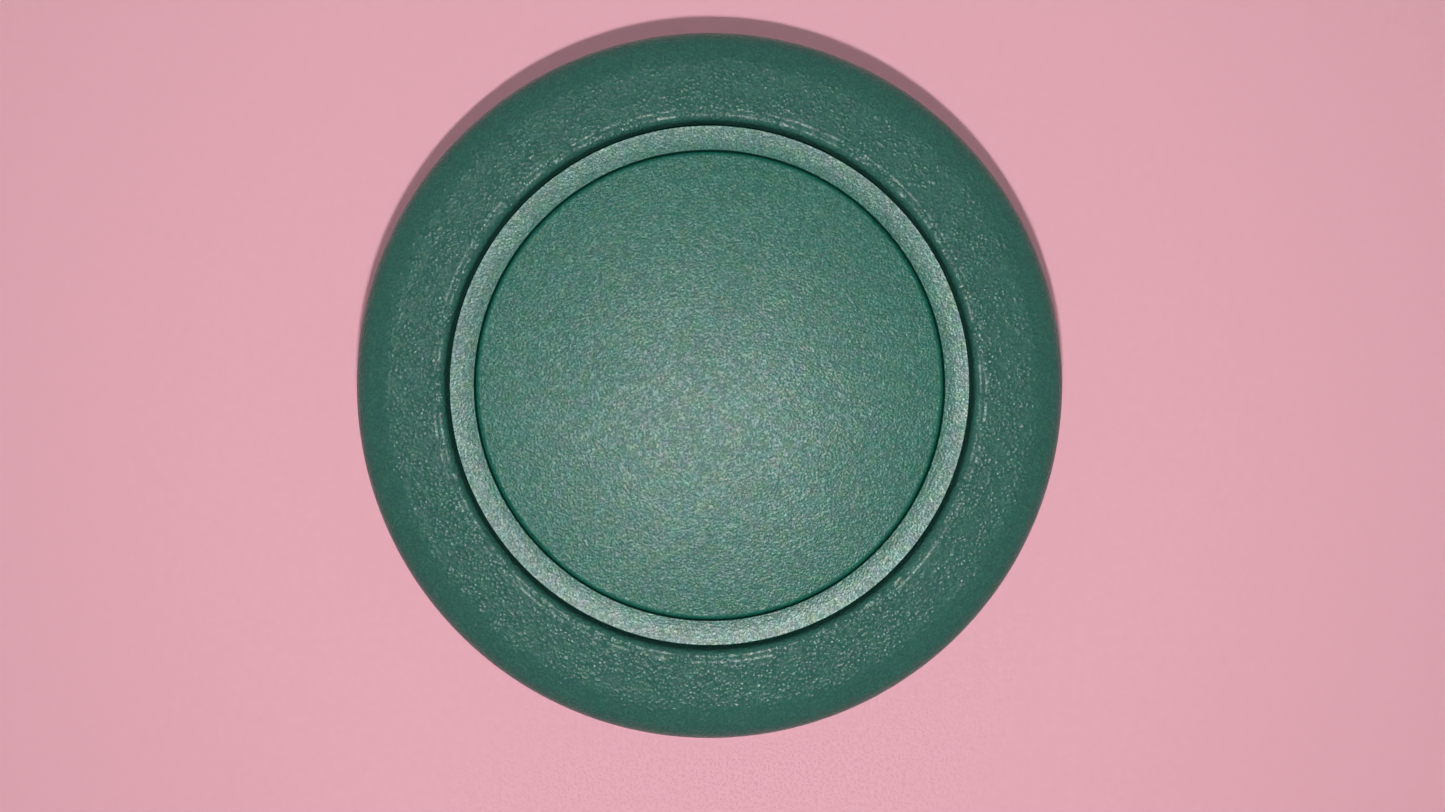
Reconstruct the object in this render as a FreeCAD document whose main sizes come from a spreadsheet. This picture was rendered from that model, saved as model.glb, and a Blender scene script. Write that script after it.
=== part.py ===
import FreeCAD, Part
import Sketcher
import os

# Shaving soap puck in its round screw-lid travel case.
# Millimetres, +Z up; the origin is on the surface the case stands on, at the middle of its foot.
# Round pieces are revolved sections; every corner is bound to the sheet "dims".

SIZES = {
    # closed case
    "case_r": 40.0,  # outer radius
    "top_z": 28.0,  # flat shoulder of the lid
    "wall": 1.6,  # wall of both outer shells
    "crown_from": 36.3,  # from here the lid's top falls away in a shallow cone
    "crown_drop": 1.1,
    "crown_r": 4.0,  # soft start of that cone
    "shoulder_r": 2.8,  # rounding of the lid's outer edge
    "shoulder_in_r": 2.4,
    "heel_r": 3.0,  # rounding of the base's bottom edge
    "heel_in_r": 1.6,
    "break_r": 0.25,  # small broken edges
    "seam_z": 12.0,  # top of the base
    "seam_gap": 0.4,  # shadow line between base and lid
    # well in the lid's top
    "well_r": 29.6,
    "well_draft": 0.3,  # how much narrower the well is at its floor
    "well_z": 25.0,
    "well_floor": 1.2,
    "well_wall": 1.4,
    "lip_r": 0.75,
    "lip_drop": 0.045,  # the lip lies this far under the shoulder
    "lip_step_in": 30.66,
    "lip_step_out": 30.9,
    # dished bezel ring and its press pins
    "bezel_r": 28.89,
    "bezel_crest": 27.95,
    "flange_gap": 0.1,  # between the ring's locating flange and the well's wall
    "flange_high": 1.4,
    "crest_r": 0.04,
    # inner edges of the six shallow cones of the dished top, and how far each lies under the crest;
    # they fall at 10, 8.2, 7.1, then past a faint line at 5, 4 and 2.8 degrees
    "dish_r_1": 28.55,
    "dish_drop_1": 0.06,
    "dish_r_2": 28.05,
    "dish_drop_2": 0.132,
    "dish_r_3": 27.46,
    "dish_drop_3": 0.2055,
    "dish_r_4": 27.05,
    "dish_drop_4": 0.2414,
    "dish_r_5": 26.66,
    "dish_drop_5": 0.2687,
    "dish_r_6": 26.28,
    "dish_drop_6": 0.2873,
    "pin_pcr": 27.65,
    "pin_r": 1.0,
    "pin_gap": 0.05,
    "pins": 6,
    # centre disc and its tape
    "disc_r": 26.18,
    "disc_z": 27.45,
    "disc_edge": 0.5,
    "boss_r": 2.5,
    "boss_gap": 0.1,
    "tape_thick": 0.3,
    "tape_r": 25.0,
    "tape_bore": 3.5,
    # threaded inner cap
    "cap_r": 38.2,
    "cap_bore": 37.1,
    "cap_low": 13.0,
    "cap_plate": 1.2,
    "cap_bead_z": 14.3,
    "cap_bead": 0.35,
    "bead_half": 0.2,
    "bead_ramp": 0.3,
    "bead_gap": 0.05,
    "centring_high": 0.15,
    "centring_half": 0.6,
    "centring_low": 16.0,
    "centring_long": 6.0,
    "centring_ribs": 12,
    "channel_rib_drop": 0.8,
    "channel_rib_wide": 0.55,
    # seal between cap and pot
    "seal_in": 33.3,
    "seal_out": 35.7,
    "seal_high": 1.15,
    "seal_gap": 0.15,
    # threaded collar
    "neck_r": 35.9,
    "neck_bore": 34.3,
    "neck_z": 20.0,
    "flange_r": 39.1,
    "flange_z": 10.6,
    "spigot_r": 38.3,
    "spigot_bore": 37.0,
    "spigot_low": 5.0,
    "collar_bead_z": 6.4,
    "collar_gap": 0.1,
    "notch_in": 33.0,
    "notch_out": 37.0,
    "notch_half": 7.0,
    "notch_deep": 1.3,
    "notches": 2,
    # screw thread: four starts, so neighbouring ridges are a quarter of the lead apart
    "lead": 12.0,
    "starts": 4,
    "ridge_high": 1.0,
    "ridge_root": 0.7,  # half widths
    "ridge_crest": 0.4,
    "ridge_z": 15.75,
    "ridge_rise": 2.5,
    "lug_root": 0.65,
    "lug_crest": 0.35,
    "lug_z": 14.5,
    "lug_rise": 2.0,
    "bite": 0.3,  # how far a root goes into its wall
    # refill pot
    "pot_r": 34.0,
    "pot_wall": 1.0,
    "pot_low": 3.2,
    "pot_rim_r": 35.8,
    "pot_rim": 1.4,
    "pot_seat_r": 34.7,
    "pot_seat": 0.6,
    "pot_heel": 2.0,
    "pot_cove": 1.2,
    "floor_rib": 0.5,
    "floor_rib_half": 0.4,
    "floor_rib_outer": 28.0,
    "floor_rib_middle": 19.0,
    "floor_rib_inner": 10.0,
    # soap
    "soap_r": 32.7,
    "soap_z": 18.6,
    "soap_edge": 2.2,
    "soap_panel_r": 24.0,
    "soap_panel_drop": 0.4,
    # cover over the soap
    "cover_r": 34.4,
    "cover_thick": 0.7,
    "cover_step_r": 29.6,
    "cover_step": 1.2,
    "grip_half_long": 11.0,
    "grip_half_wide": 1.5,
    "grip_high": 2.1,
    # base and its foot
    "stand": 0.8,  # gap under the base
    "base_floor": 2.0,
    "foot_in": 30.1,
    "foot_out": 34.1,
    "foot_sink": 1.0,
    "foot_gap": 0.05,
}

doc = FreeCAD.newDocument("soap_puck_case")


def value(expression):
    """The number that a sum of size names and plain numbers stands for."""
    total, sign = 0.0, 1.0
    for word in expression.split():
        if word in "+-":
            sign = 1.0 if word == "+" else -1.0
        else:
            total += sign * (SIZES[word] if word in SIZES else float(word))
    return total


def bound(expression):
    """The same sum, written for FreeCAD's expression engine."""
    return " ".join("dims." + word if word in SIZES else word for word in expression.split())


def make_sheet():
    sheet = doc.addObject("Spreadsheet::Sheet", "dims")
    for row, (name, number) in enumerate(SIZES.items(), 1):
        sheet.set(f"A{row}", name)
        sheet.set(f"B{row}", str(number))
        sheet.setAlias(f"B{row}", name)
    doc.recompute()


def new_body(label):
    body = doc.addObject("PartDesign::Body", label)
    body.Label = label
    return body


def origin_feature(body, role):
    return next(f for f in body.Origin.OriginFeatures if f.Role == role)


def pin(sketch, point, axis, expression):
    """Holds one coordinate of a sketch point at a size from the sheet."""
    number = value(expression)
    if abs(number) < 1e-9:
        sketch.addConstraint(Sketcher.Constraint("PointOnObject", *point, -2 if axis == "X" else -1))
        return
    index = sketch.addConstraint(Sketcher.Constraint("Distance" + axis, -1, 1, *point, number))
    sketch.setExpression(f"Constraints[{index}]", bound(expression))


def new_sketch(body, name, plane, lift=None):
    """An empty sketch on one of the body's own planes, raised by lift."""
    sketch = body.newObject("Sketcher::SketchObject", name)
    sketch.AttachmentSupport = [(origin_feature(body, plane), "")]
    sketch.MapMode = "FlatFace"
    if lift:
        sketch.setExpression("AttachmentOffset.Base.z", bound(lift))
    return sketch


def outline(body, name, corners, plane="XZ_Plane", lift=None):
    """A closed sketch of straight lines through corners, each a pair of size sums."""
    sketch = new_sketch(body, name, plane, lift)
    points = [FreeCAD.Vector(value(a), value(b), 0) for a, b in corners]
    count = len(points)
    for i in range(count):
        sketch.addGeometry(Part.LineSegment(points[i], points[(i + 1) % count]))
    for i in range(count):
        sketch.addConstraint(Sketcher.Constraint("Coincident", i, 2, (i + 1) % count, 1))
    for i, (a, b) in enumerate(corners):
        pin(sketch, (i, 1), "X", a)
        pin(sketch, (i, 1), "Y", b)
    return sketch


def circle(body, name, x, radius, lift):
    """A horizontal circle, centred on the X axis at height lift."""
    sketch = new_sketch(body, name, "XY_Plane", lift)
    centre = FreeCAD.Vector(value(x), 0, 0)
    sketch.addGeometry(Part.Circle(centre, FreeCAD.Vector(0, 0, 1), value(radius)))
    pin(sketch, (0, 3), "X", x)
    pin(sketch, (0, 3), "Y", "0")
    index = sketch.addConstraint(Sketcher.Constraint("Radius", 0, value(radius)))
    sketch.setExpression(f"Constraints[{index}]", bound(radius))
    return sketch


def revolve(body, corners):
    sketch = outline(body, body.Label + "_section", corners)
    turned = body.newObject("PartDesign::Revolution", body.Label + "_turned")
    turned.Profile = sketch
    turned.ReferenceAxis = (sketch, ["V_Axis"])
    turned.Angle = 360
    doc.recompute()
    return turned


def ring_edge(shape, radius, z):
    """Names of the full circles about the Z axis at that radius and height."""
    found = []
    for number, edge in enumerate(shape.Edges, 1):
        if not isinstance(edge.Curve, Part.Circle):
            continue
        centre = edge.Curve.Center
        on_axis = abs(centre.x) + abs(centre.y) < 1e-4
        if on_axis and abs(edge.Curve.Radius - radius) < 1e-3 and abs(centre.z - z) < 1e-3:
            found.append(f"Edge{number}")
    return found


def round_rings(body, base, size, rings):
    """Rounds the circular edges at (radius, height) by one size from the sheet."""
    names = [name for r, z in rings for name in ring_edge(base.Shape, value(r), value(z))]
    if len(names) != len(rings):
        raise RuntimeError(f"{body.Label}: {len(names)} of {len(rings)} edges found for {size}")
    fillet = body.newObject("PartDesign::Fillet", f"{body.Label}_{size}")
    fillet.Base = (base, names)
    fillet.setExpression("Radius", bound(size))
    doc.recompute()
    return fillet


def extrude(body, kind, name, sketch, length, down=False):
    """A Pad or Pocket of a horizontal sketch, upwards unless down is set."""
    before = body.Tip.Shape.Volume
    feature = body.newObject("PartDesign::" + kind, name)
    feature.Profile = sketch
    feature.setExpression("Length", bound(length))
    feature.Reversed = down if kind == "Pad" else not down
    doc.recompute()
    gained = feature.Shape.Volume - before
    if abs(gained) < 1e-3 or (gained > 0) != (kind == "Pad"):
        raise RuntimeError(f"{name} changes nothing")
    return feature


def polar(body, feature, count):
    """Repeats a feature about the Z axis, count times in a full turn."""
    pattern = body.newObject("PartDesign::PolarPattern", feature.Name + "_ring")
    pattern.Originals = [feature]
    pattern.Axis = (origin_feature(body, "Z_Axis"), [""])
    pattern.Angle = 360
    pattern.setExpression("Occurrences", bound(count))
    body.Tip = pattern
    doc.recompute()
    return pattern


def thread(body, name, corners, rise):
    """One blunt-ended ridge along the lead, repeated for the other starts."""
    sketch = outline(body, name + "_section", corners)
    ridge = body.newObject("PartDesign::AdditiveHelix", name)
    ridge.Profile = sketch
    ridge.ReferenceAxis = (sketch, ["V_Axis"])
    ridge.Mode = 0
    ridge.setExpression("Pitch", bound("lead"))
    ridge.setExpression("Height", bound(rise))
    doc.recompute()
    return polar(body, ridge, "starts")


def bead(radius, z, high, gap="0"):
    """Section corners of a snap bead, or with a gap of its groove, from its low end up."""
    low, up = f"{z} - bead_half - {gap}", f"{z} + bead_half + {gap}"
    crest = f"{radius} + {high}"
    return [(radius, low + " - bead_ramp"), (crest, low), (crest, up), (radius, up + " + bead_ramp")]


def lid_shell():
    body = new_body("lid_shell")
    inside = "case_r - wall"
    groove = bead(inside, "cap_bead_z", "bead_ramp", "bead_gap")
    turned = revolve(
        body,
        [
            ("boss_r + boss_gap", "well_z - well_floor"),
            ("well_r + well_wall", "well_z - well_floor"),
            ("well_r + well_wall", "top_z - wall"),
            (inside, "top_z - wall"),
            *reversed(groove),
            (inside, "seam_z + seam_gap"),
            ("case_r", "seam_z + seam_gap"),
            ("case_r", "top_z - crown_drop"),
            ("crown_from", "top_z"),
            ("lip_step_out", "top_z"),
            ("lip_step_in", "top_z - lip_drop"),
            ("well_r", "top_z - lip_drop"),
            ("well_r - well_draft", "well_z"),
            ("boss_r + boss_gap", "well_z"),
        ],
    )
    shoulder = round_rings(body, turned, "shoulder_r", [("case_r", "top_z - crown_drop")])
    crown = round_rings(body, shoulder, "crown_r", [("crown_from", "top_z")])
    lip = round_rings(body, crown, "lip_r", [("well_r", "top_z - lip_drop")])
    inner = round_rings(body, lip, "shoulder_in_r", [(inside, "top_z - wall")])
    round_rings(body, inner, "break_r", [(r, "seam_z + seam_gap") for r in (inside, "case_r")])
    hole = circle(body, "pin_hole_section", "pin_pcr", "pin_r + pin_gap", "well_z")
    polar(body, extrude(body, "Pocket", "pin_hole", hole, "well_floor", down=True), "pins")
    return body


def bezel_ring():
    body = new_body("bezel_ring")
    dish = [(f"dish_r_{k}", f"bezel_crest - dish_drop_{k}") for k in range(1, 7)]
    bore = "dish_r_6"
    flange = "well_r - well_draft - flange_gap"
    turned = revolve(
        body,
        [
            (bore, "well_z"),
            (flange, "well_z"),
            (flange, "well_z + flange_high"),
            ("bezel_r", "well_z + flange_high"),
            ("bezel_r", "bezel_crest"),
            *dish,
        ],
    )
    round_rings(body, turned, "crest_r", [("bezel_r", "bezel_crest")])
    section = circle(body, "press_pin_section", "pin_pcr", "pin_r", "well_z + pin_r")
    press_pin = extrude(body, "Pad", "press_pin", section, "well_floor + pin_r", down=True)
    polar(body, press_pin, "pins")
    return body


def centre_disc():
    body = new_body("centre_disc")
    boss_low = "well_z - well_floor + tape_thick"
    turned = revolve(
        body,
        [
            ("0", boss_low),
            ("boss_r", boss_low),
            ("boss_r", "well_z + tape_thick"),
            ("disc_r", "well_z + tape_thick"),
            ("disc_r", "disc_z"),
            ("0", "disc_z"),
        ],
    )
    round_rings(body, turned, "disc_edge", [("disc_r", "disc_z")])
    return body


def disc_tape():
    body = new_body("disc_tape")
    low, high = "well_z", "well_z + tape_thick"
    revolve(body, [("tape_bore", low), ("tape_r", low), ("tape_r", high), ("tape_bore", high)])
    return body


def inner_cap():
    body = new_body("inner_cap")
    under = "well_z - well_floor - cap_plate"
    lowered = under + " - channel_rib_drop"
    revolve(
        body,
        [
            ("0", under),
            ("seal_in - seal_gap - channel_rib_wide", under),
            ("seal_in - seal_gap - channel_rib_wide", lowered),
            ("seal_in - seal_gap", lowered),
            ("seal_in - seal_gap", under),
            ("seal_out + seal_gap", under),
            ("seal_out + seal_gap", lowered),
            ("seal_out + seal_gap + channel_rib_wide", lowered),
            ("seal_out + seal_gap + channel_rib_wide", under),
            ("cap_bore", under),
            ("cap_bore", "cap_low"),
            ("cap_r", "cap_low"),
            *bead("cap_r", "cap_bead_z", "cap_bead"),
            ("cap_r", "well_z - well_floor"),
            ("0", "well_z - well_floor"),
        ],
    )
    lug = [
        ("cap_bore - ridge_high", "lug_z - lug_crest"),
        ("cap_bore + bite", "lug_z - lug_root"),
        ("cap_bore + bite", "lug_z + lug_root"),
        ("cap_bore - ridge_high", "lug_z + lug_crest"),
    ]
    thread(body, "cap_lug", lug, "lug_rise")
    near, far = "cap_r - bite", "cap_r + centring_high"
    left, right = "0 - centring_half", "centring_half"
    corners = [(near, left), (far, left), (far, right), (near, right)]
    section = outline(body, "centring_section", corners, "XY_Plane", "centring_low")
    polar(body, extrude(body, "Pad", "centring_rib", section, "centring_long"), "centring_ribs")
    return body


def seal_ring():
    body = new_body("seal_ring")
    high = "well_z - well_floor - cap_plate"
    low = high + " - seal_high"
    turned = revolve(body, [("seal_in", low), ("seal_out", low), ("seal_out", high), ("seal_in", high)])
    round_rings(body, turned, "break_r", [(r, z) for r in ("seal_in", "seal_out") for z in (low, high)])
    return body


def neck_collar():
    body = new_body("neck_collar")
    under = "seam_z - wall"
    revolve(
        body,
        [
            ("neck_bore", under),
            ("spigot_bore", under),
            ("spigot_bore", "spigot_low"),
            ("spigot_r", "spigot_low"),
            *bead("spigot_r", "collar_bead_z", "bead_ramp"),
            ("spigot_r", "flange_z"),
            ("flange_r", "flange_z"),
            ("flange_r", "seam_z"),
            ("neck_r", "seam_z"),
            ("neck_r", "neck_z"),
            ("neck_bore", "neck_z"),
        ],
    )
    ridge = [
        ("neck_r - bite", "ridge_z - ridge_root"),
        ("neck_r + ridge_high", "ridge_z - ridge_crest"),
        ("neck_r + ridge_high", "ridge_z + ridge_crest"),
        ("neck_r - bite", "ridge_z + ridge_root"),
    ]
    thread(body, "neck_ridge", ridge, "ridge_rise")
    left, right = "0 - notch_half", "notch_half"
    corners = [("notch_in", left), ("notch_out", left), ("notch_out", right), ("notch_in", right)]
    section = outline(body, "notch_section", corners, "XY_Plane", "neck_z")
    notch = extrude(body, "Pocket", "thumb_notch", section, "notch_deep", down=True)
    polar(body, notch, "notches")
    return body


def base_shell():
    body = new_body("base_shell")
    inside = "case_r - wall"
    groove = bead(inside, "collar_bead_z", "bead_ramp", "bead_gap")
    turned = revolve(
        body,
        [
            ("0", "stand"),
            ("foot_in - foot_gap", "stand"),
            ("foot_in - foot_gap", "stand + foot_sink"),
            ("foot_out + foot_gap", "stand + foot_sink"),
            ("foot_out + foot_gap", "stand"),
            ("case_r", "stand"),
            ("case_r", "seam_z"),
            ("flange_r + collar_gap", "seam_z"),
            ("flange_r + collar_gap", "flange_z"),
            (inside, "flange_z"),
            *reversed(groove),
            (inside, "stand + base_floor"),
            ("0", "stand + base_floor"),
        ],
    )
    heel = round_rings(body, turned, "heel_r", [("case_r", "stand")])
    cove = round_rings(body, heel, "heel_in_r", [(inside, "stand + base_floor")])
    round_rings(body, cove, "break_r", [("case_r", "seam_z")])
    return body


def foot_ring():
    body = new_body("foot_ring")
    high = "stand + foot_sink"
    turned = revolve(body, [("foot_in", "0"), ("foot_out", "0"), ("foot_out", high), ("foot_in", high)])
    round_rings(body, turned, "break_r", [("foot_in", "0"), ("foot_out", "0")])
    return body


def refill_pot():
    body = new_body("refill_pot")
    floor = "pot_low + pot_wall"
    ribs = []
    for rib in ("floor_rib_outer", "floor_rib_middle", "floor_rib_inner"):
        ribs += [
            (rib + " + floor_rib_half", floor),
            (rib + " + floor_rib_half", floor + " + floor_rib"),
            (rib + " - floor_rib_half", floor + " + floor_rib"),
            (rib + " - floor_rib_half", floor),
        ]
    turned = revolve(
        body,
        [
            ("0", "pot_low"),
            ("pot_r", "pot_low"),
            ("pot_r", "neck_z"),
            ("pot_rim_r", "neck_z"),
            ("pot_rim_r", "neck_z + pot_rim"),
            ("pot_seat_r", "neck_z + pot_rim"),
            ("pot_seat_r", "neck_z + pot_seat"),
            ("pot_r - pot_wall", "neck_z + pot_seat"),
            ("pot_r - pot_wall", floor),
            *ribs,
            ("0", floor),
        ],
    )
    heel = round_rings(body, turned, "pot_heel", [("pot_r", "pot_low")])
    round_rings(body, heel, "pot_cove", [("pot_r - pot_wall", floor)])
    return body


def soap_puck():
    body = new_body("soap_puck")
    low = "pot_low + pot_wall + floor_rib"
    turned = revolve(
        body,
        [
            ("0", low),
            ("soap_r", low),
            ("soap_r", "soap_z"),
            ("soap_panel_r", "soap_z"),
            ("soap_panel_r - soap_panel_drop", "soap_z - soap_panel_drop"),
            ("0", "soap_z - soap_panel_drop"),
        ],
    )
    round_rings(body, turned, "soap_edge", [("soap_r", low), ("soap_r", "soap_z")])
    return body


def cover_disc():
    body = new_body("cover_disc")
    seat = "neck_z + pot_seat"
    dish = seat + " + cover_thick - cover_step"
    revolve(
        body,
        [
            ("0", seat + " - cover_step"),
            ("cover_step_r", seat + " - cover_step"),
            ("cover_step_r", seat),
            ("cover_r", seat),
            ("cover_r", seat + " + cover_thick"),
            ("cover_step_r - cover_thick", seat + " + cover_thick"),
            ("cover_step_r - cover_thick", dish),
            ("0", dish),
        ],
    )
    left, right = "0 - grip_half_long", "grip_half_long"
    near, far = "0 - grip_half_wide", "grip_half_wide"
    corners = [(left, near), (right, near), (right, far), (left, far)]
    section = outline(body, "grip_section", corners, "XY_Plane", dish)
    extrude(body, "Pad", "grip_bar", section, "grip_high")
    return body


PIECES = (
    lid_shell,
    bezel_ring,
    centre_disc,
    disc_tape,
    inner_cap,
    seal_ring,
    cover_disc,
    soap_puck,
    refill_pot,
    neck_collar,
    base_shell,
    foot_ring,
)

make_sheet()
bodies = [make() for make in PIECES]
doc.recompute()

for item in doc.Objects:
    if {"Invalid", "Error"} & set(item.State):
        raise RuntimeError(f"{item.Name} failed: {item.State}")
for body in bodies:
    if body.Shape.isNull() or not body.Shape.isValid() or len(body.Shape.Solids) != 1:
        raise RuntimeError(f"{body.Label} is not one valid solid")

os.makedirs("parts", exist_ok=True)
for body in bodies:
    body.Shape.exportStep(f"parts/{body.Label}.step")
    box = body.Shape.BoundBox
    print(f"{body.Label}: {body.Shape.Volume:.0f} mm3, z {box.ZMin:.2f} to {box.ZMax:.2f}, r {box.XMax:.2f}")
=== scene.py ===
import bpy
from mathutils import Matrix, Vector


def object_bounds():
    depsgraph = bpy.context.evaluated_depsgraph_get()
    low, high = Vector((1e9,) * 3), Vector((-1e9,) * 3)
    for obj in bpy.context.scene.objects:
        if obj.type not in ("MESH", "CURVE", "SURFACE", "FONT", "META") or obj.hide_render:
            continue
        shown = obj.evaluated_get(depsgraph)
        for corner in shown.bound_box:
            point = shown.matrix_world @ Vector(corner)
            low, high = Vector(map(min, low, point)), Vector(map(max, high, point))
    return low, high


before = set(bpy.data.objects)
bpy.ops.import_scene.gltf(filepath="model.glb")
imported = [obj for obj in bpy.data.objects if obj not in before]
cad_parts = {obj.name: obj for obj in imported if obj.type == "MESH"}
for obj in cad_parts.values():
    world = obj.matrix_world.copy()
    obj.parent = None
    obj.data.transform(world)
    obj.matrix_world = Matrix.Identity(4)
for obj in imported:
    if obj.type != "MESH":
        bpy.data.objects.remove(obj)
cad_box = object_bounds()
scene = bpy.context.scene
MM = 0.001
TOP = cad_box[1].z
GROUND = cad_box[0].z
WHITE = (1, 1, 1, 1)

# ---------------------------------------------------------------- nodes


class Tree:
    """A node tree with short calls: t.mix(share, a, b) adds a node and returns its output socket."""

    def __init__(self, nodes, links):
        self.nodes, self.links = nodes, links

    def feed(self, socket, source):
        """Link a socket to the input, or set a plain value on it."""
        if isinstance(source, bpy.types.NodeSocket):
            self.links.new(source, socket)
        else:
            socket.default_value = source

    def add(self, kind, inputs=(), output=0, **settings):
        node = self.nodes.new(kind)
        for key, setting in settings.items():
            setattr(node, key, setting)
        for key, source in dict(inputs).items():
            self.feed(node.inputs[key], source)
        return node.outputs[output]

    def math(self, operation, a, b):
        return self.add("ShaderNodeMath", {0: a, 1: b}, operation=operation)

    def ramp(self, source, low, high, to_low=0.0, to_high=1.0, smooth=True):
        return self.add(
            "ShaderNodeMapRange",
            {"Value": source, "From Min": low, "From Max": high, "To Min": to_low, "To Max": to_high},
            interpolation_type="SMOOTHSTEP" if smooth else "LINEAR",
        )

    def mix(self, share, a, b, blend="MIX"):
        node = self.nodes.new("ShaderNodeMix")
        node.data_type, node.blend_type = "RGBA", blend
        for socket, source in zip((node.inputs[0], node.inputs[6], node.inputs[7]), (share, a, b)):
            self.feed(socket, source)
        return node.outputs[2]

    def place(self):
        return self.add("ShaderNodeTexCoord", output="Object")

    def noise(self, place, size, detail=2.0, output="Fac"):
        inputs = {"Vector": place, "Scale": 1.0 / size, "Detail": detail}
        return self.add("ShaderNodeTexNoise", inputs, output=output)

    def cells(self, place, size, output="Distance"):
        return self.add("ShaderNodeTexVoronoi", {"Vector": place, "Scale": 1.0 / size}, output=output)

    def bump(self, height, depth, strength=1.0, normal=None):
        inputs = {"Height": height, "Distance": depth, "Strength": strength}
        if normal:
            inputs["Normal"] = normal
        return self.add("ShaderNodeBump", inputs)


# ---------------------------------------------------------------- materials


def material(name, **constants):
    """A material with one Principled shader whose plain numbers are set on its own sockets."""
    made = bpy.data.materials.new(name)
    made.use_nodes = True
    tree = Tree(made.node_tree.nodes, made.node_tree.links)
    shader = made.node_tree.nodes["Principled BSDF"]
    for key, setting in constants.items():
        shader.inputs[key.replace("_", " ")].default_value = setting
    return made, tree, shader


def spark_eroded(name, shades, rough, relief, dim, gloss, bowl=0.0, bowl_slope=0.0):
    """Plastic moulded against a spark-eroded tool.

    Fine pits, relief deep, throw the light about. Each tiny facet reflects between dim and fully, with a
    slightly different hue. With a bowl size, round craters lie in patches among the pits.
    """
    made, t, shader = material(name, Specular_IOR_Level=gloss, IOR=1.6)
    place = t.place()
    pits = t.noise(place, 0.24 * MM, 0.5)
    hue = t.noise(place, 1.4 * MM, 3.0, output="Color")
    broad = t.noise(place, 11.0 * MM, 3.0)
    level = t.add("ShaderNodeSeparateColor", {0: t.cells(place, 0.2 * MM, output="Color")}, output="Blue")
    facet = t.math("MULTIPLY", level, level)

    # three tenths of the mix follow the pits' height, so the low parts of the pits take the deep shade as
    # painted shade; the rest is the facets' random tone
    colour = t.mix(t.mix(0.3, facet, t.ramp(pits, 0.32, 0.68)), *shades)
    colour = t.mix(t.ramp(broad, 0.35, 0.65, 0.0, 0.1), colour, shades[1])
    t.feed(shader.inputs["Base Color"], t.mix(0.1, colour, hue, blend="OVERLAY"))

    shine = t.ramp(facet, 0.0, 1.0, dim, 1.0, smooth=False)
    tint = t.mix(1.0, t.mix(0.5, WHITE, hue), shine, blend="MULTIPLY")
    t.feed(shader.inputs["Specular Tint"], tint)
    t.feed(shader.inputs["Roughness"], t.ramp(broad, 0.3, 0.7, rough + 0.01, rough - 0.01))

    normal = t.bump(pits, relief)
    if bowl:
        centre_distance = t.cells(place, bowl)
        patch = t.ramp(t.noise(place, 1.6 * MM), 0.4, 0.58, 0.15, 1.0)
        depth = t.math("MULTIPLY", t.math("MULTIPLY", centre_distance, centre_distance), patch)
        normal = t.bump(depth, bowl_slope * bowl, normal=normal)
    t.feed(shader.inputs["Normal"], normal)
    return made


def smooth_moulding(name, deep, pale, rough, clear):
    """Plain polypropylene: faint flow swirls, a little see-through, a trace of tool finish."""
    made, t, shader = material(
        name, Subsurface_Weight=clear, Subsurface_Radius=(0.003, 0.003, 0.0025), Subsurface_Scale=1.0
    )
    place = t.place()
    flow = t.noise(place, 6.0 * MM, 4.0)
    finish = t.noise(place, 0.35 * MM)
    t.feed(shader.inputs["Base Color"], t.mix(t.ramp(flow, 0.35, 0.7), deep, pale))
    t.feed(shader.inputs["Roughness"], t.ramp(flow, 0.3, 0.7, rough - 0.05, rough + 0.07))
    t.feed(shader.inputs["Normal"], t.bump(finish, 0.006 * MM))
    return made


def soap_material():
    """Hard white soap: waxy, faintly marbled, with tiny darker pores."""
    made, t, shader = material(
        "soap", Subsurface_Weight=0.35, Subsurface_Radius=(0.004, 0.003, 0.002), Subsurface_Scale=1.0
    )
    place = t.place()
    marble = t.noise(place, 14.0 * MM, 5.0)
    pores = t.cells(place, 0.9 * MM)
    drag = t.noise(place, 1.6 * MM, 4.0)
    colour = t.mix(t.ramp(marble, 0.35, 0.65), (0.78, 0.69, 0.52, 1), (0.88, 0.82, 0.69, 1))
    colour = t.mix(t.ramp(pores, 0.0, 0.12, 0.35, 0.0), colour, (0.55, 0.45, 0.3, 1))
    t.feed(shader.inputs["Base Color"], colour)
    t.feed(shader.inputs["Roughness"], t.ramp(drag, 0.3, 0.7, 0.38, 0.58))
    relief = t.math("ADD", t.math("MULTIPLY", drag, 0.6), t.ramp(pores, 0.0, 0.15))
    t.feed(shader.inputs["Normal"], t.bump(relief, 0.05 * MM, 0.6))
    return made


def rubber(name, deep, pale, rough, clear=0.0):
    """Silicone or elastomer: a cloudy bloom over a fine matt skin."""
    made, t, shader = material(name, Subsurface_Weight=clear, Subsurface_Radius=(0.002, 0.002, 0.002))
    place = t.place()
    bloom = t.noise(place, 4.0 * MM, 5.0)
    skin = t.noise(place, 0.25 * MM, 3.0)
    t.feed(shader.inputs["Base Color"], t.mix(t.ramp(bloom, 0.35, 0.7), deep, pale))
    t.feed(shader.inputs["Roughness"], t.ramp(bloom, 0.3, 0.7, rough - 0.06, rough + 0.08))
    t.feed(shader.inputs["Normal"], t.bump(skin, 0.012 * MM))
    return made


def tape_material():
    """Foam tape with open cells."""
    made, t, shader = material("tape", Roughness=0.8)
    foam = t.cells(t.place(), 0.3 * MM)
    t.feed(shader.inputs["Base Color"], t.mix(foam, (0.62, 0.6, 0.55, 1), (0.85, 0.83, 0.78, 1)))
    t.feed(shader.inputs["Normal"], t.bump(foam, 0.03 * MM))
    return made


# ---------------------------------------------------------------- floor, light and camera

# the camera looks straight down from here; a small shift frames the case a little off centre
EYE = Vector((0, 0, TOP + 135.0 * MM))
SENSOR_WIDTH, FOCAL_LENGTH = 36.0, 30.27
SHIFT = 0.009, -0.0143
NEAREST_SEEN = 5.0 * MM

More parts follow.
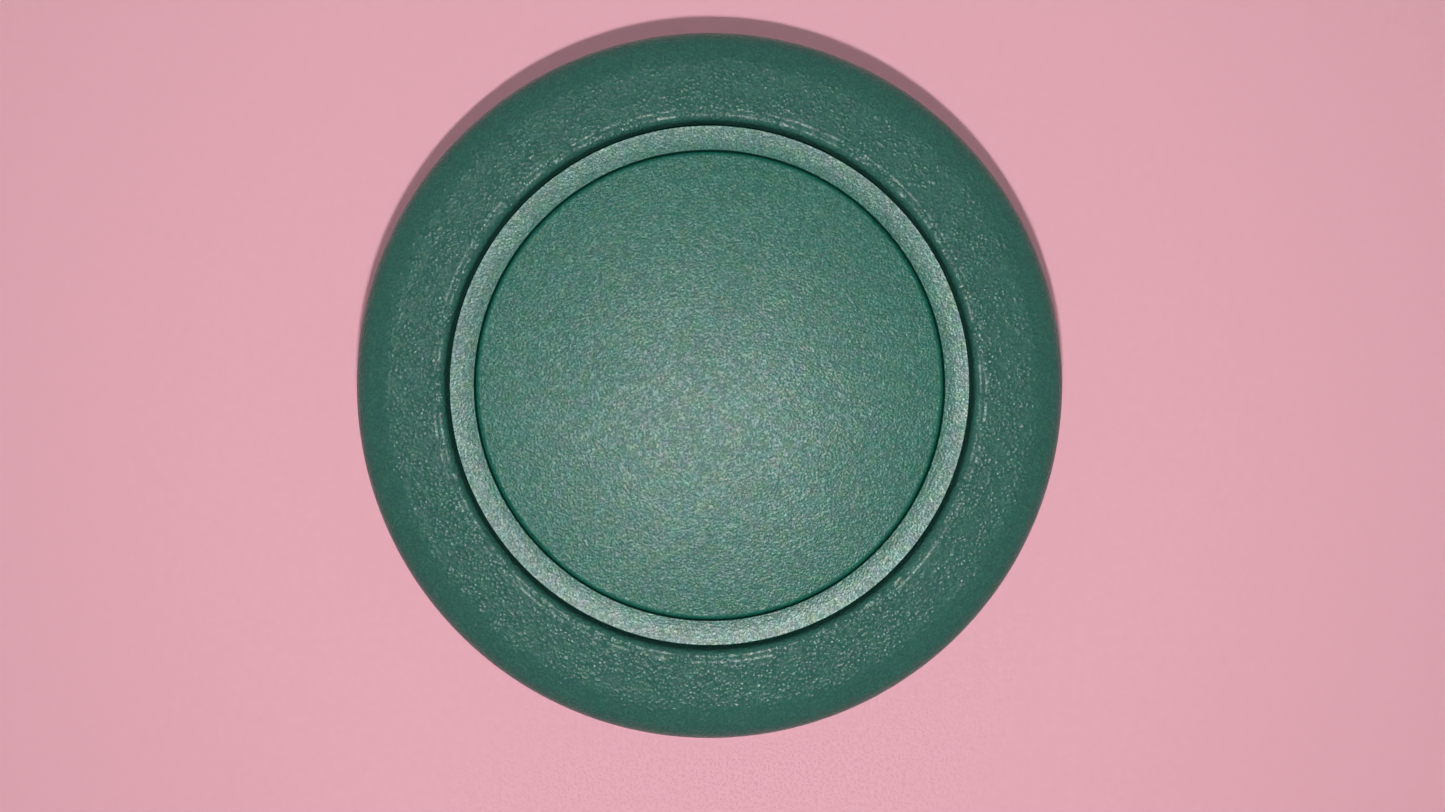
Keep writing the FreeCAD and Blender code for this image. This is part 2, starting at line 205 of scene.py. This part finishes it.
# a small lamp beside the lens throws the crescent of shadow; the sky and a far lamp fill it in
KEY_ASIDE = Vector((0, -12.0 * MM, 0))
KEY_WIDTH, KEY_POWER = 3.0 * MM, 6.6
FAR_LAMP = Vector((-0.125, 0.067, 1.45))
FAR_WIDTH, FAR_POWER = 0.3, 2.8
SKY_COLOUR = (1.0, 0.97, 0.96, 1)
SKY_LEVEL, SKY_OVERHEAD = 0.42, 0.2

FLOOR_SIZE = 3.0
FLOOR_SHADES = (0.77, 0.397, 0.468, 1), (0.81, 0.415, 0.492, 1)


def add_camera():
    data = bpy.data.cameras.new("camera")
    data.sensor_width, data.lens, data.clip_start = SENSOR_WIDTH, FOCAL_LENGTH, NEAREST_SEEN
    data.shift_x, data.shift_y = SHIFT
    camera = bpy.data.objects.new("camera", data)
    camera.location = EYE
    scene.collection.objects.link(camera)
    scene.camera = camera


def add_floor():
    bpy.ops.mesh.primitive_plane_add(size=FLOOR_SIZE, location=(0, 0, GROUND))
    floor = bpy.context.object
    floor.name = "floor"
    made, t, shader = material("floor", Roughness=0.75, Specular_IOR_Level=0.2)
    fibre = t.noise(t.place(), 1.2 * MM, 3.0)
    t.feed(shader.inputs["Base Color"], t.mix(fibre, *FLOOR_SHADES))
    t.feed(shader.inputs["Normal"], t.bump(fibre, 0.01 * MM))
    floor.data.materials.append(made)


def add_light(name, width, location, aim, power, colour, steady=False):
    """A round light. A steady one doesn't fall off with distance."""
    data = bpy.data.lights.new(name, "AREA")
    data.shape, data.size, data.energy, data.color = "DISK", width, power, colour
    if steady:
        data.use_nodes = True
        t = Tree(data.node_tree.nodes, data.node_tree.links)
        strength = t.add("ShaderNodeLightFalloff", {"Strength": 1.0}, output="Constant")
        t.feed(t.nodes["Emission"].inputs["Strength"], strength)
    lamp = bpy.data.objects.new(name, data)
    lamp.location = location
    lamp.rotation_mode = "QUATERNION"
    lamp.rotation_quaternion = (aim - location).to_track_quat("-Z", "Y")
    lamp.visible_camera = False
    scene.collection.objects.link(lamp)


def add_sky():
    """An even studio sky, brighter towards the horizon than overhead."""
    world = bpy.data.worlds.new("studio")
    world.use_nodes = True
    t = Tree(world.node_tree.nodes, world.node_tree.links)
    background = t.nodes["Background"]
    background.inputs["Color"].default_value = SKY_COLOUR
    direction = t.add("ShaderNodeTexCoord", output="Generated")
    up = t.add("ShaderNodeSeparateXYZ", {0: direction}, output="Z")
    strength = t.ramp(up, 0.0, 1.0, SKY_LEVEL, SKY_OVERHEAD, smooth=False)
    t.feed(background.inputs["Strength"], strength)
    scene.world = world


def add_studio():
    add_sky()
    key = EYE + KEY_ASIDE
    add_light("key", KEY_WIDTH, key, Vector((key.x, key.y, 0)), KEY_POWER, WHITE[:3], steady=True)
    add_light("ceiling", FAR_WIDTH, FAR_LAMP, Vector((0, 0, TOP)), FAR_POWER, (1.0, 0.99, 0.98))
    scene.view_settings.view_transform = "Standard"


# ---------------------------------------------------------------- the case

# each pair is a deep and a pale shade of the same plastic; in the shell's pair the red is raised as
# painted stray light, a grey haze over the green
SHELL_GREEN_AND_HAZE = (0.024, 0.098, 0.076, 1), (0.031, 0.128, 0.1, 1)
TRIM_GREEN = (0.008, 0.093, 0.064, 1), (0.013, 0.153, 0.109, 1)
LINER = (0.54, 0.61, 0.57, 1), (0.59, 0.65, 0.61, 1)
POT = (0.76, 0.78, 0.75, 1), (0.8, 0.82, 0.79, 1)
COVER = (0.77, 0.79, 0.75, 1), (0.82, 0.83, 0.8, 1)
SILICONE = (0.6, 0.61, 0.59, 1), (0.74, 0.75, 0.73, 1)
FOOT = (0.016, 0.03, 0.026, 1), (0.03, 0.05, 0.045, 1)

SHELL = {
    "rough": 0.33,
    "relief": 0.035 * MM,
    "dim": 0.25,
    "gloss": 0.48,
    "bowl": 0.4 * MM,
    "bowl_slope": 0.28,
}
RING = {"rough": 0.35, "relief": 0.03 * MM, "dim": 0.4, "gloss": 0.62}
DISC = {"rough": 0.39, "relief": 0.04 * MM, "dim": 0.34, "gloss": 0.65}

FINISHES = {
    "lid_shell": spark_eroded("lid_plastic", SHELL_GREEN_AND_HAZE, **SHELL),
    "base_shell": spark_eroded("base_plastic", SHELL_GREEN_AND_HAZE, **SHELL),
    "bezel_ring": spark_eroded("ring_plastic", TRIM_GREEN, **RING),
    "centre_disc": spark_eroded("disc_plastic", TRIM_GREEN, **DISC),
    "inner_cap": smooth_moulding("cap_plastic", *LINER, rough=0.42, clear=0.1),
    "neck_collar": smooth_moulding("neck_plastic", *LINER, rough=0.42, clear=0.1),
    "refill_pot": smooth_moulding("pot_plastic", *POT, rough=0.26, clear=0.2),
    "cover_disc": smooth_moulding("cover_plastic", *COVER, rough=0.5, clear=0.25),
    "soap_puck": soap_material(),
    "seal_ring": rubber("silicone", *SILICONE, rough=0.45, clear=0.3),
    "foot_ring": rubber("foot_rubber", *FOOT, rough=0.72),
    "disc_tape": tape_material(),
}


def dress():
    """Give each CAD node its finish; the shapes stay as they are."""
    for node, finish in FINISHES.items():
        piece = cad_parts[node]
        piece.data.materials.clear()
        piece.data.materials.append(finish)


add_camera()
add_floor()
add_studio()
dress()
